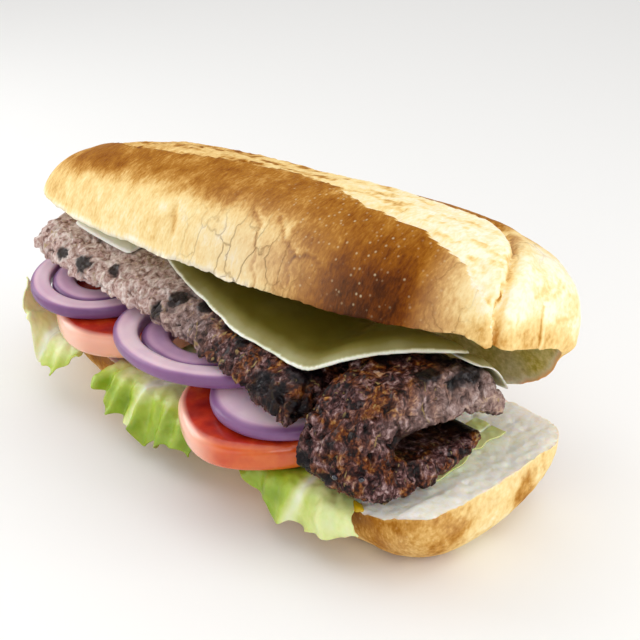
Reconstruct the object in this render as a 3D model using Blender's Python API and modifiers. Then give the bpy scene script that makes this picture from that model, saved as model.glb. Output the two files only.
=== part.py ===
"""Submarine sandwich: a split roll with grilled meat, cheese, red onion, tomato and lettuce.

Blender 4.5, metres, +Z up. +X runs along the roll to the end where the folded meat shows,
-Y is the side the filling hangs out of. The roll's lower half stands on z = 0. Sizes and
places below are in millimetres.
"""

import math

import bmesh
import bpy
from mathutils import Vector, noise

MM = 0.001

# Driving dimensions, in mm.
HEEL_LENGTH, HEEL_WIDTH, HEEL_HEIGHT = 244, 92, 28
CROWN_LENGTH, CROWN_WIDTH, CROWN_HEIGHT = 246, 88, 41
TOMATO_RADIUS, TOMATO_THICK = 34, 11
ONION_THICK = 5.5
CHEESE_THICK = 2
LEAF_THICK = 1.5

# The middle of the sandwich's outline in x and y, which is put at the origin.
MIDDLE = (-2.58, 0.67)

# Place and turn (degrees about X, Y, Z) of the roll's halves.
HEEL_PLACE, HEEL_TURN = (-5, 10, HEEL_HEIGHT), (0, 0, -1.5)
CROWN_PLACE, CROWN_TURN = (-0.5, 9, 69), (-20, -2.5, 4)
CROWN_BEND = 3

# Slices: name, middle, turn about X and Y in degrees.
TOMATOES = [
    ("tomato_far", (-65, -12, 38.3), (5, 4)),
    ("tomato_mid", (33, -23, 34.2), (5, 0)),
]

# Rings: name, outer half length and half width, wall, middle, turn about X and Y in degrees.
ONIONS = [
    ("onion_far_outer", 30, 30, 8.5, (-81, -18, 47.7), (5, 4)),
    ("onion_far_inner", 21, 21, 10, (-81, -18, 48), (5, 4)),
    ("onion_mid_outer", 44, 29, 8.5, (-6, -23, 48.5), (4.5, -3)),
    ("onion_mid_inner", 30, 20, 10, (-6, -23, 48.7), (4.5, -3)),
    ("onion_near", 30, 30, 20, (40.5, -19, 43), (5, 0)),
]


# ---------------------------------------------------------------- scene and materials


def clear_scene():
    for old in list(bpy.data.objects):
        bpy.data.objects.remove(old)


def material(name, colour, roughness):
    made = bpy.data.materials.new(name)
    made.use_nodes = True
    shader = made.node_tree.nodes["Principled BSDF"]
    shader.inputs["Base Color"].default_value = (*colour, 1)
    shader.inputs["Roughness"].default_value = roughness
    return made


def collection(name):
    made = bpy.data.collections.new(name)
    bpy.context.scene.collection.children.link(made)
    return made


def add_object(name, bm, finish, into):
    """A new object from a bmesh in millimetres, which is freed."""
    bmesh.ops.scale(bm, verts=bm.verts, vec=(MM, MM, MM))
    bmesh.ops.recalc_face_normals(bm, faces=bm.faces)
    mesh = bpy.data.meshes.new(name)
    bm.to_mesh(mesh)
    bm.free()
    mesh.shade_smooth()
    mesh.set_sharp_from_angle(angle=math.radians(50))
    made = bpy.data.objects.new(name, mesh)
    if finish:
        mesh.materials.append(finish)
    into.objects.link(made)
    return made


def put(obj, place, turn):
    obj.location = Vector(place) * MM
    obj.rotation_euler = [math.radians(angle) for angle in turn]


def cut(obj, cutter):
    """Take the cutter away from obj; the cutter itself isn't part of the sandwich."""
    cutter.hide_render = True
    cutter.display_type = "WIRE"
    step = obj.modifiers.new("cut", "BOOLEAN")
    step.operation = "DIFFERENCE"
    step.object = cutter


# ---------------------------------------------------------------- curves


def power(value, exponent):
    """Signed power: keeps the sign of value."""
    return math.copysign(abs(value) ** exponent, value)


def end_factor(along, bluntness):
    """How much of the full section is left at along, from -1 to 1; a large bluntness is a square end."""
    return max(0.0, 1 - abs(along) ** bluntness) ** (1 / bluntness)


def along_line(points, share):
    """The point at share, 0 to 1, of a Catmull-Rom curve through points."""
    spans = len(points) - 1
    place = min(max(share, 0.0), 1.0) * spans
    i = min(int(place), spans - 1)
    t = place - i
    p = [Vector(points[min(max(k, 0), spans)]) for k in (i - 1, i, i + 1, i + 2)]
    return 0.5 * (
        2 * p[1]
        + (p[2] - p[0]) * t
        + (2 * p[0] - 5 * p[1] + 4 * p[2] - p[3]) * t**2
        + (3 * p[1] - p[0] - 3 * p[2] + p[3]) * t**3
    )


def table(points, x):
    """Value at x of straight lines through (x, value) points."""
    if x <= points[0][0]:
        return points[0][1]
    for (x0, v0), (x1, v1) in zip(points, points[1:]):
        if x <= x1:
            return v0 + (v1 - v0) * (x - x0) / (x1 - x0)
    return points[-1][1]


def rough(x, y, z, size):
    """Smooth noise from -1 to 1, with lumps of the given size in mm."""
    return noise.noise(Vector((x, y, z)) / size)


# ---------------------------------------------------------------- bread


def loaf(length, width, crown, belly, near_end, far_end, around, rings):
    """A closed loaf round the X axis: a sphere drawn out to blunt ends, crown above and belly below."""
    bm = bmesh.new()
    bmesh.ops.create_uvsphere(bm, u_segments=around, v_segments=rings, radius=1)
    for v in bm.verts:
        along, side, up = v.co.z, v.co.x, v.co.y
        ring = math.hypot(side, up)
        plan_end, height_end = near_end if along > 0 else far_end
        v.co.x = along * length / 2
        v.co.y = v.co.z = 0
        if ring > 0.001:
            v.co.y = end_factor(along, plan_end) * width / 2 * power(side / ring, 0.8)
            v.co.z = end_factor(along, height_end) * (crown if up > 0 else belly) * power(up / ring, 0.8)
    return bm


def slab_cutter(name, surface, size_x, size_y, away, into):
    """A closed cutter: a grid shaped by surface(x, y), carried away (up or down) past the loaf."""
    bm = bmesh.new()
    bmesh.ops.create_grid(bm, x_segments=18, y_segments=12, size=0.5)
    for v in bm.verts:
        v.co.x *= size_x
        v.co.y *= size_y
        v.co.z = surface(v.co.x, v.co.y)
    grown = bmesh.ops.extrude_face_region(bm, geom=bm.faces[:], use_keep_orig=True)
    for v in grown["geom"]:
        if isinstance(v, bmesh.types.BMVert):
            v.co.z = away
    return add_object(name, bm, None, into)


def heel_top(x, y):
    """The lower half's cut face: pressed in by the filling, most at the front."""
    front = max(0.0, -y / (HEEL_WIDTH / 2))
    middle = end_factor(min(1, abs(x) / (0.46 * HEEL_LENGTH)), 3)
    near_corner = max(0, x - 60) / 60 * max(0, y) / (HEEL_WIDTH / 2)
    return 4.5 * near_corner - middle * (1.2 + 2.3 * front)


def bread_bottom(crust, parts, cutters):
    bm = loaf(HEEL_LENGTH, HEEL_WIDTH, 34, 33, (7, 5), (3.6, 2.6), around=32, rings=22)
    everything = bm.verts[:] + bm.edges[:] + bm.faces[:]
    for v in bm.verts:
        if v.co.z < 0:
            v.co.z *= 1 - 0.4 * max(0, v.co.x - 60) / 60 * max(0, v.co.y) / (HEEL_WIDTH / 2)
    low = (0, 0, -HEEL_HEIGHT)
    sole = bmesh.ops.bisect_plane(bm, geom=everything, plane_co=low, plane_no=(0, 0, -1), clear_outer=True)
    bmesh.ops.holes_fill(bm, edges=[e for e in sole["geom_cut"] if isinstance(e, bmesh.types.BMEdge)])
    heel = add_object("bread_bottom", bm, crust, parts)
    cutter = slab_cutter("heel_cutter", heel_top, 1.1 * HEEL_LENGTH, 1.2 * HEEL_WIDTH, 60, cutters)
    for obj in (heel, cutter):
        put(obj, HEEL_PLACE, HEEL_TURN)
    cut(heel, cutter)


def bend(x):
    """The upper half's ends curve up by CROWN_BEND."""
    return CROWN_BEND * (2 * x / CROWN_LENGTH) ** 2


def ramp(value, start, end):
    """0 before start, 1 past end, and smooth between; start may be the larger."""
    t = min(1, max(0, (value - start) / (end - start)))
    return t * t * (3 - 2 * t)


def crown_underside(x, y):
    """The upper half's cut face: arched over the filling, then steeply down its back wall."""
    across = y / (CROWN_WIDTH / 2)
    arch = 12 * (1 - min(1, across**2)) * end_factor(min(1, abs(x) / CROWN_LENGTH), 2) * ramp(x, 125, 112)
    back_wall = (29 + 0.05 * x + 9 * ramp(x, 50, 95)) * max(0.0, (across - 0.25) / 0.75) ** 1.7
    return arch - back_wall + bend(x)


def bread_top(crust, parts, cutters):
    bm = loaf(CROWN_LENGTH, CROWN_WIDTH, CROWN_HEIGHT, 34, (5.2, 4), (3.4, 2.6), around=36, rings=24)
    for v in bm.verts:
        v.co.z += bend(v.co.x)
        v.co.x -= 5 * ramp(v.co.z, 4, -4) * ramp(v.co.x, 85, 115)
    crown = add_object("bread_top", bm, crust, parts)
    cutter = slab_cutter("crown_cutter", crown_underside, 1.1 * CROWN_LENGTH, 1.2 * CROWN_WIDTH, -80, cutters)
    for obj in (crown, cutter):
        put(obj, CROWN_PLACE, CROWN_TURN)
    cut(crown, cutter)


# ---------------------------------------------------------------- meat


def slab(name, place, columns, rows, finish, into):
    """A closed slab of columns by rows cells; place(u, v, side) puts its lower (0) and upper (1) face."""
    bm = bmesh.new()
    bmesh.ops.create_grid(bm, x_segments=columns, y_segments=rows, size=0.5)
    grown = bmesh.ops.extrude_face_region(bm, geom=bm.faces[:], use_keep_orig=True)
    upper = {v for v in grown["geom"] if isinstance(v, bmesh.types.BMVert)}
    for v in bm.verts:
        v.co = place(v.co.x + 0.5, v.co.y + 0.5, v in upper)
    made = add_object(name, bm, finish, into)
    step = made.modifiers.new("rounding", "SUBSURF")
    step.levels = step.render_levels = 1
    return made


# Sections (y, z), from the back of the roll to the front.
STRIP_TOP = [(22, 64), (4, 69.5), (-14, 69), (-28, 66), (-38, 60)]
STRIP_UNDER = [(24, 57.8), (6, 57), (-12, 55.6), (-28, 54), (-39, 52.5)]
STRIP_FORWARD = [(-112, 3), (-90, 3), (-40, 5), (20, -2), (69, -8)]
STRIP_RAISE = [(-112, 4), (-90, 1.5), (-60, 0), (20, 0), (45, -1.5), (69, -7.5)]
FOLD_OUTSIDE = [
    (18, 46),
    (19, 56),
    (12, 66),
    (0, 71.5),
    (-16, 71),
    (-31, 65),
    (-43, 55),
    (-48, 44),
    (-45, 34),
    (-34, 29.2),
    (-14, 31),
    (4, 33),
    (15, 41.5),
]
FOLD_INSIDE = [
    (12, 47.5),
    (11, 49.5),
    (6, 52),
    (-2, 52),
    (-10, 51),
    (-17, 49.5),
    (-23, 47.5),
    (-26, 46),
    (-24, 44.5),
    (-18, 43.5),
    (-8, 42),
    (2, 41.5),
    (10, 44),
]


def meat_strip(finish, parts):
    """The long strip under the cheese."""

    def place(u, v, side):
        x = -112 + 181 * u
        y, z = along_line(STRIP_TOP if side else STRIP_UNDER, v)
        y += table(STRIP_FORWARD, x) * min(1, max(0, (26 - y) / 40))
        z += table(STRIP_RAISE, x)
        if u == 0:
            x += 8 * (1 - side) + 3 * rough(0, y, z, 9)
        lump = 1.5 * rough(x, y, z, 11)
        return Vector((x + lump, y - lump, z + (lump if side else 0.3 * lump)))

    slab("meat_far", place, 14, 5, finish, parts)


def meat_fold(finish, parts):
    """The near piece: folded over at the front, open towards the near end and the back."""

    def place(u, v, side):
        y, z = along_line(FOLD_OUTSIDE if side else FOLD_INSIDE, v)
        upper_end = 111 - 0.27 * max(0, 8 - y)
        lower_end = 107.5 + 1.5 * ramp(y, -10, -22) - 0.6 * max(0, -27 - y)
        end = upper_end + (lower_end - upper_end) * ramp(v, 0.5, 0.68)
        x = 70 + (end - 70) * u
        lump = 1.3 * rough(x, y, z, 10)
        if u == 1:
            x += 2.5 * rough(5, y, z, 8)
        return Vector((x, y - (lump if side else 0), z + (0 if z < 45 else lump)))

    slab("meat_near", place, 5, 13, finish, parts)


# ---------------------------------------------------------------- cheese, tomato, onion, lettuce


def sheet(name, place, columns, rows, thick, finish, into):
    """A sheet of columns by rows cells, put in place by place(u, v), both 0 to 1, and given its thickness."""
    bm = bmesh.new()
    bmesh.ops.create_grid(bm, x_segments=columns, y_segments=rows, size=0.5)
    for v in bm.verts:
        v.co = place(v.co.x + 0.5, v.co.y + 0.5)
    made = add_object(name, bm, finish, into)
    wall = made.modifiers.new("thickness", "SOLIDIFY")
    wall.thickness = thick * MM
    wall.offset = 0
    return made


def meat_top(x, y):
    """Height of the meat's upper side."""
    along_y = y - table(STRIP_FORWARD, x) * min(1, max(0, (26 - y) / 40))
    strip = table(STRIP_TOP[::-1], along_y) + table(STRIP_RAISE, x)
    fold = table(FOLD_OUTSIDE[6:1:-1], y)
    return strip + (fold - strip) * min(1, max(0, (x - 58) / 10))


# Front edge of the slice that shows in the middle, as (x, y).
CHEESE_FRONT = [(-50, -10), (-33, -17), (-5, -26), (25, -33), (50, -34), (68, -31), (82, -20), (94, -8), (101, 1)]


def cheese_slices(finish, parts):
    def far(u, v):
        x, y = -94 + 40 * u, 8 - 30 * v
        return Vector((x, y, meat_top(x, y) + 3))

    def mid(u, v):
        x = -50 + 151 * u
        y = 10 + (table(CHEESE_FRONT, x) - 10) * v
        return Vector((x, y, meat_top(x, y) + 3 + 2.4 * min(1, max(0, (x - 66) / 8))))

    def near(u, v):
        y, z = along_line([(4.5, 72.3), (9, 70.5), (13.5, 67.6), (17.5, 62.8), (21.5, 56.5)], v)
        return Vector((91 + 19 * u, y, z))

    sheet("cheese_far", far, 6, 6, CHEESE_THICK, finish, parts)
    sheet("cheese_mid", mid, 16, 8, CHEESE_THICK, finish, parts)
    sheet("cheese_near", near, 4, 8, CHEESE_THICK, finish, parts)


# Lettuce: name, ends along x at the back and at the front, section (y, z) from back to front, height
# of the free edge along the leaf above the section's end, waves along it and their depth.
LEAVES = [
    (
        "lettuce_far",
        [(-99, -52), (-99, -52)],
        [(34, 35), (4, 32), (-24, 29.5), (-40, 28.4), (-47, 22.5), (-49, 13)],
        [(0, 24), (0.4, 8), (0.7, 2), (1, 4)],
        (2.5, 3),
    ),
    (
        "lettuce_mid",
        [(-48, 13), (-46, 13)],
        [(36, 33), (10, 29.7), (-10, 27.9), (-24, 26.7), (-39, 25.9), (-46, 16), (-49, 5)],
        [(0, 17), (0.75, 0), (1, 8)],
        (3.5, 3),
    ),
    (
        "lettuce_near",
        [(41, 75), (41, 97)],
        [(36, 33), (12, 29.7), (-6, 27.7), (-24, 26.5), (-40, 25.9), (-44.5, 17), (-44, 8)],
        [(0, 15), (0.4, 3), (0.8, 2), (1, 16)],
        (2.5, 2),
    ),
    (
        "lettuce_end",
        [(85, 100), (84, 104)],
        [(32, 31.5), (14, 30.5), (-2, 29.5), (-12, 29)],
        [(0, 0)],
        (1.5, 0.5),
    ),
]


def lettuce(name, ends, line, free_edge, ruffle, finish, parts):
    back_ends, front_ends = ends
    waves, depth = ruffle

    def place(u, v):
        start, end = (back + (front - back) * v**2 for back, front in zip(back_ends, front_ends))
        y, z = along_line(line, v)
        hang = max(0, (v - 0.55) / 0.45)
        wave = math.sin(2 * math.pi * waves * u)
        return Vector((start + (end - start) * u, y - depth * hang * wave, z + table(free_edge, u) * hang**4))

    sheet(name, place, 12, 8, LEAF_THICK, finish, parts)


def tomato(name, place, turn, finish, parts):
    """A thick slice with a lobed outline and softened edges."""
    bm = bmesh.new()
    radius, thick = TOMATO_RADIUS, TOMATO_THICK
    bmesh.ops.create_cone(bm, cap_ends=True, segments=30, radius1=radius, radius2=radius, depth=thick)
    for v in bm.verts:
        swell = 1 + 0.02 * math.cos(5 * math.atan2(v.co.y, v.co.x) + 0.8)
        v.co.x *= swell
        v.co.y *= swell
    slice_ = add_object(name, bm, finish, parts)
    step = slice_.modifiers.new("soft_edge", "BEVEL")
    step.width = 2.2 * MM
    step.segments = 2
    put(slice_, place, (*turn, 0))


def onion(name, half_length, half_width, wall, place, turn, finish, parts):
    """One ring of a cut slice: its section turned round, then drawn to an oval."""
    half = ONION_THICK / 2
    outer = half_width
    section = [(outer - 0.8, half), (outer, 0), (outer - 0.8, -half), (outer - wall, -half), (outer - wall, half)]
    bm = bmesh.new()
    verts = [bm.verts.new((r, 0, z)) for r, z in section]
    for a, b in zip(verts, verts[1:] + verts[:1]):
        bm.edges.new((a, b))
    ring = add_object(name, bm, finish, parts)
    step = ring.modifiers.new("turned", "SCREW")
    step.steps = step.render_steps = 28
    step.use_merge_vertices = True
    step.merge_threshold = 0.00001
    ring.scale.x = half_length / half_width
    put(ring, place, (*turn, 0))


def move_to_origin(made):
    """Hang everything on one empty, which brings the middle of the outline to the origin."""
    middle = bpy.data.objects.new("sandwich_middle", None)
    bpy.context.scene.collection.objects.link(middle)
    middle.location = Vector((-MIDDLE[0], -MIDDLE[1], 0)) * MM
    for obj in made:
        obj.parent = middle


def main():
    clear_scene()
    parts = collection("submarine_sandwich")
    cutters = collection("cutters")
    crust = material("crust", (0.62, 0.36, 0.13), 0.6)
    meat = material("grilled_meat", (0.12, 0.06, 0.04), 0.4)
    flesh = material("tomato", (0.72, 0.12, 0.05), 0.3)
    skin = material("red_onion", (0.55, 0.3, 0.5), 0.35)
    cheese = material("cheese", (0.85, 0.78, 0.5), 0.4)
    leaf = material("lettuce", (0.3, 0.5, 0.08), 0.45)
    bread_bottom(crust, parts, cutters)
    bread_top(crust, parts, cutters)
    meat_strip(meat, parts)
    meat_fold(meat, parts)
    cheese_slices(cheese, parts)
    for name, ends, line, free_edge, ruffle in LEAVES:
        lettuce(name, ends, line, free_edge, ruffle, leaf, parts)
    for name, place, turn in TOMATOES:
        tomato(name, place, turn, flesh, parts)
    for name, half_length, half_width, wall, place, turn in ONIONS:
        onion(name, half_length, half_width, wall, place, turn, skin, parts)
    move_to_origin([*parts.objects, *cutters.objects])


main()
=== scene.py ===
"""Looks of the submarine sandwich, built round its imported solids.

Sizes and places in this file are millimetres, unless a name says otherwise; the scene is in metres.
+X runs along the roll to the end where the folded meat shows, -Y is the side that the filling
hangs out of. The roll's halves are first shaped in a frame of their own, with +X along the loaf.
"""

import math

import bpy
import numpy as np
from mathutils import Euler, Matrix, Vector, kdtree, noise


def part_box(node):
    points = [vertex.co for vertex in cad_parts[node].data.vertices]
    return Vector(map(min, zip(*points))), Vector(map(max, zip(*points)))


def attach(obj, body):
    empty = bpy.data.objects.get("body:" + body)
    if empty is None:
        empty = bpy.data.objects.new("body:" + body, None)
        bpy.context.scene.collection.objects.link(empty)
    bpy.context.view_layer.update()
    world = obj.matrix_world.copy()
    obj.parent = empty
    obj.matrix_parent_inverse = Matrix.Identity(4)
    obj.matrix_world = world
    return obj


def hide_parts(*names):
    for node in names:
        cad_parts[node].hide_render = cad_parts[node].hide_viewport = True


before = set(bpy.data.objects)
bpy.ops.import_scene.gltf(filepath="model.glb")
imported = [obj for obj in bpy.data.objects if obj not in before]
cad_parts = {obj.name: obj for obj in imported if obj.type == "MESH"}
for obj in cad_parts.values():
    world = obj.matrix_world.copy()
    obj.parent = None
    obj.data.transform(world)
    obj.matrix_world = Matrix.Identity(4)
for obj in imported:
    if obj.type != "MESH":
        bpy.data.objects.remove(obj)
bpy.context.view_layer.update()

MM = 0.001

# Driving sizes of the roll, the same as the solids'.
HEEL_LENGTH, HEEL_WIDTH, HEEL_HEIGHT, HEEL_BELLY = 244, 92, 28, 33
CROWN_LENGTH, CROWN_WIDTH, CROWN_HEIGHT, CROWN_BELLY = 246, 88, 41, 34
HEEL_TURN = (0, 0, -1.5)
CROWN_TURN = (-20, -2.5, 4)
CROWN_BEND = 3


# ---------------------------------------------------------------- meshes


def select_only(obj):
    bpy.ops.object.select_all(action="DESELECT")
    obj.select_set(True)
    bpy.context.view_layer.objects.active = obj


def primitive(name, operator, **settings):
    """A new primitive of that name, and nothing else selected."""
    bpy.ops.object.select_all(action="DESELECT")
    operator(**settings)
    obj = bpy.context.object
    obj.name = obj.data.name = name
    return obj


def copy_of(node, name):
    """An object with a CAD node's shape, its loose triangles merged to one closed mesh."""
    obj = bpy.data.objects.new(name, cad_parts[node].data.copy())
    bpy.context.scene.collection.objects.link(obj)
    obj.data.materials.clear()
    edit(obj, (bpy.ops.mesh.remove_doubles, {"threshold": 0.00001}))
    return obj


def edit(obj, *steps):
    """Runs edit-mode operators in turn, each on the whole mesh or on what the last one left selected."""
    select_only(obj)
    bpy.ops.object.mode_set(mode="EDIT")
    bpy.ops.mesh.select_all(action="SELECT")
    for operator, settings in steps:
        operator(**settings)
    bpy.ops.object.mode_set(mode="OBJECT")


def apply(obj, kind, **settings):
    select_only(obj)
    step = obj.modifiers.new(kind.lower(), kind)
    for key, value in settings.items():
        setattr(step, key, value)
    bpy.ops.object.modifier_apply(modifier=step.name)


def points(obj):
    flat = np.empty(3 * len(obj.data.vertices), np.float32)
    obj.data.vertices.foreach_get("co", flat)
    return flat.reshape(-1, 3).astype(float) / MM


def set_points(obj, co):
    obj.data.vertices.foreach_set("co", (co * MM).astype(np.float32).ravel())
    obj.data.update()


def outward(obj):
    """Unit normals of the vertices."""
    flat = np.empty(3 * len(obj.data.vertices), np.float32)
    obj.data.vertex_normals.foreach_get("vector", flat)
    return flat.reshape(-1, 3).astype(float)


def push(obj, height):
    """Moves each vertex along its normal."""
    set_points(obj, points(obj) + outward(obj) * np.asarray(height)[:, None])


def paint(obj, name, values):
    """Stores a number at each vertex, for the material to read."""
    made = obj.data.attributes.new(name, "FLOAT", "POINT")
    made.data.foreach_set("value", np.clip(values, 0, 1).astype(np.float32))


def turned(co, turn):
    matrix = np.array(Euler([math.radians(angle) for angle in turn]).to_matrix())
    return co @ matrix.T


def settle(obj, node, turn):
    """Turns a piece shaped in its own frame, and brings its box's middle to the CAD node's."""
    co = turned(points(obj), turn)
    low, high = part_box(node)
    middle = np.array(low + high) / 2 / MM
    set_points(obj, co + middle - (co.min(0) + co.max(0)) / 2)


def flat_frame(node):
    """Middle and axes (along X, across, up) of a flat CAD slice, and its vertices seen in them."""
    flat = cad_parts[node].data
    co = np.unique(np.round([v.co / MM for v in flat.vertices], 3), axis=0)
    low, high = co.min(0), co.max(0)
    middle = (low + high) / 2
    up = np.linalg.svd(co - co.mean(0))[2][2]
    up = up if up[2] > 0 else -up
    along = np.array([1, 0, 0]) - up[0] * up
    along /= np.linalg.norm(along)
    axes = np.stack([along, np.cross(up, along), up])
    return middle, axes, (co - middle) @ axes.T


def finish_piece(obj, slot, materials, *nodes):
    """Gives a piece its finish and its body, and hides the CAD nodes it stands for."""
    for made in materials:
        obj.data.materials.append(made)
    obj.data.shade_smooth()
    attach(obj, "root")
    if nodes:
        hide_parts(*nodes)
    return obj


# ---------------------------------------------------------------- fields over points


def ramp(value, start, end):
    """0 before start, 1 past end, and smooth between; start may be the larger."""
    t = np.clip((value - start) / (end - start), 0, 1)
    return t * t * (3 - 2 * t)


def spot(value, middle, reach):
    """1 at middle, fading out over reach."""
    return np.exp(-(((value - middle) / reach) ** 2))


def lumps(co, size, seed=0):
    """Smooth noise, about -1 to 1, with lumps of that size."""
    return np.array([noise.noise(p) for p in (co / size + 17.3 * seed).tolist()])


def cells(co, size, seed=0):
    """Distances, as shares of size, to the nearest and second nearest of scattered points."""
    found = [noise.voronoi(p)[0][:2] for p in (co / size + 17.3 * seed).tolist()]
    return np.array(found).T


def near_line(co, line, out=None):
    """Distance of each point from a line of points, on its left seen from outside if positive."""
    line = np.array(line, float)
    best = np.full(len(co), np.inf)
    side = np.ones(len(co))
    for a, b in zip(line, line[1:]):
        run = b - a
        share = np.clip((co - a) @ run / (run @ run), 0, 1)
        away = co - a - share[:, None] * run
        distance = np.linalg.norm(away, axis=1)
        closer = distance < best
        best[closer] = distance[closer]
        if out is not None:
            left = np.einsum("ij,ij->i", np.cross(out, run), away)
            side[closer] = np.sign(left[closer])
    return best * side


def end_factor(along, bluntness):
    """How much of the full section is left at along, from -1 to 1; a large bluntness is a square end."""
    return np.maximum(0, 1 - np.abs(along) ** bluntness) ** (1 / bluntness)


# ---------------------------------------------------------------- materials


def srgb(code):
    """Linear colour of a hex code."""
    channels = [int(code[i : i + 2], 16) / 255 for i in (1, 3, 5)]
    linear = [c / 12.92 if c <= 0.04045 else ((c + 0.055) / 1.055) ** 2.4 for c in channels]
    return (*linear, 1)


def add(tree, kind, settings=(), links=()):
    """Adds a node. A setting is a property, or an input's value by name or number; a link is an input's source."""
    made = tree.nodes.new("ShaderNode" + kind)
    for key, value in dict(settings).items():
        if key == "stops":
            while len(made.color_ramp.elements) < len(value):
                made.color_ramp.elements.new(0.5)
            for element, (place, colour) in zip(made.color_ramp.elements, value):
                element.position = place
                element.color = srgb(colour)
        elif isinstance(key, int) or key in made.inputs:
            made.inputs[key].default_value = value
        else:
            setattr(made, key, value)
    for key, source in dict(links).items():
        socket = source if isinstance(source, bpy.types.NodeSocket) else source.outputs[0]
        tree.links.new(socket, made.inputs[key])
    return made


def new_material(name, **settings):
    """A Principled material with constant values on the shader's own sockets."""
    made = bpy.data.materials.new(name)
    made.use_nodes = True
    tree = made.node_tree
    shader = tree.nodes["Principled BSDF"]
    for key, value in settings.items():
        shader.inputs[key.replace("_", " ")].default_value = value
    place = add(tree, "TexCoord").outputs["Object"]
    return made, tree, shader, place


def each(size):
    """Texture scale that gives features of that size, in mm."""
    return 1 / (size * MM)


def baked_crust():
    """Wheat crust, baked dry: cream where it stayed pale, caramel to dark brown where the oven caught it."""
    made, tree, shader, place = new_material("wheat_crust_baked", Specular_IOR_Level=0.06)
    brown = add(tree, "Attribute", {"attribute_name": "browning"}).outputs["Fac"]
    dusty = add(tree, "Attribute", {"attribute_name": "flaky"}).outputs["Fac"]
    blistered = add(tree, "Attribute", {"attribute_name": "blistered"}).outputs["Fac"]
    # The skin stretched round the loaf, so its grain is longer that way.
    round_loaf = add(tree, "Mapping", {"Scale": (1, 0.45, 0.45)}, {"Vector": place})
    mottle = add(tree, "TexNoise", {"Scale": each(3.4), "Detail": 7, "Roughness": 0.7}, {"Vector": round_loaf})
    grain = add(tree, "TexNoise", {"Scale": each(0.9), "Detail": 3}, {"Vector": round_loaf})
    shade = add(tree, "Math", {"operation": "MULTIPLY_ADD", 1: 0.44, 2: -0.22}, {0: mottle})
    shade = add(tree, "Math", {"operation": "ADD"}, {0: shade, 1: brown})
    fine = add(tree, "Math", {"operation": "MULTIPLY_ADD", 1: 0.32, 2: -0.16}, {0: grain})
    shade = add(tree, "Math", {"operation": "ADD"}, {0: shade, 1: fine})
    stops = [(0, "#fff6dd"), (0.16, "#fbe3a6"), (0.3, "#efca84"), (0.43, "#d09c50"), (0.56, "#ac7123"),
             (0.7, "#8f5209"), (0.85, "#6c3402"), (1, "#431c00")]
    colour = add(tree, "ValToRGB", {"stops": stops}, {0: shade})
    # Skin that dried and lifted is greyer.
    dull = add(tree, "Math", {"operation": "MULTIPLY", 1: 0.45}, {0: dusty})
    colour = add(tree, "Mix", {"data_type": "RGBA", 7: srgb("#dcc4a4")}, {0: dull, 6: colour})
    # It is also crazed: fine cracks, most of them running round the loaf.
    warp = add(tree, "TexNoise", {"Scale": each(7), "Detail": 4}, {"Vector": place})
    bent = add(tree, "VectorMath", {"operation": "MULTIPLY_ADD", 1: (0.006, 0.006, 0.006)},
               {0: warp.outputs["Color"], 2: round_loaf})
    crazed = add(tree, "TexVoronoi", {"feature": "DISTANCE_TO_EDGE", "Scale": each(9)}, {"Vector": bent})
    crazed = add(tree, "MapRange", {"From Min": 0.035, "From Max": 0.0}, {"Value": crazed.outputs["Distance"]})
    crazed = add(tree, "Math", {"operation": "MULTIPLY"}, {0: crazed, 1: dusty})
    line = add(tree, "Math", {"operation": "MULTIPLY", 1: 0.45}, {0: crazed})
    colour = add(tree, "Mix", {"data_type": "RGBA", 7: srgb("#80501c")}, {0: line, 6: colour.outputs[2]})
    # Blisters: pin-head bubbles of thin pale skin, in some places only.
    bubble = add(tree, "TexVoronoi", {"Scale": each(2.1)}, {"Vector": place})
    chosen = add(tree, "SeparateColor", (), {0: bubble.outputs["Color"]})
    chosen = add(tree, "MapRange", {"From Min": 0.3, "From Max": 0.9}, {"Value": chosen.outputs[0]})
    dome = add(tree, "MapRange", {"From Min": 0.3, "From Max": 0.08}, {"Value": bubble.outputs["Distance"]})
    dome = add(tree, "Math", {"operation": "MULTIPLY"}, {0: dome, 1: blistered})
    dome = add(tree, "Math", {"operation": "MULTIPLY"}, {0: dome, 1: chosen})
    pale = add(tree, "Math", {"operation": "MULTIPLY", 1: 0.65}, {0: dome})
    colour = add(tree, "Mix", {"data_type": "RGBA", 7: srgb("#f7e2b4")}, {0: pale, 6: colour.outputs[2]})
    tree.links.new(colour.outputs[2], shader.inputs["Base Color"])
    height = add(tree, "Math", {"operation": "MULTIPLY_ADD", 1: 0.6}, {0: dome, 2: mottle})
    height = add(tree, "Math", {"operation": "MULTIPLY_ADD", 1: 0.45}, {0: grain, 2: height})
    height = add(tree, "Math", {"operation": "MULTIPLY_ADD", 1: -0.8}, {0: crazed, 2: height})
    bump = add(tree, "Bump", {"Strength": 0.8, "Distance": 0.8 * MM}, {"Height": height})
    tree.links.new(bump.outputs[0], shader.inputs["Normal"])
    gloss = add(tree, "MapRange", {"From Min": 0.2, "From Max": 0.9, "To Min": 0.75, "To Max": 0.45}, {"Value": shade})
    tree.links.new(gloss.outputs[0], shader.inputs["Roughness"])
    return made


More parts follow.
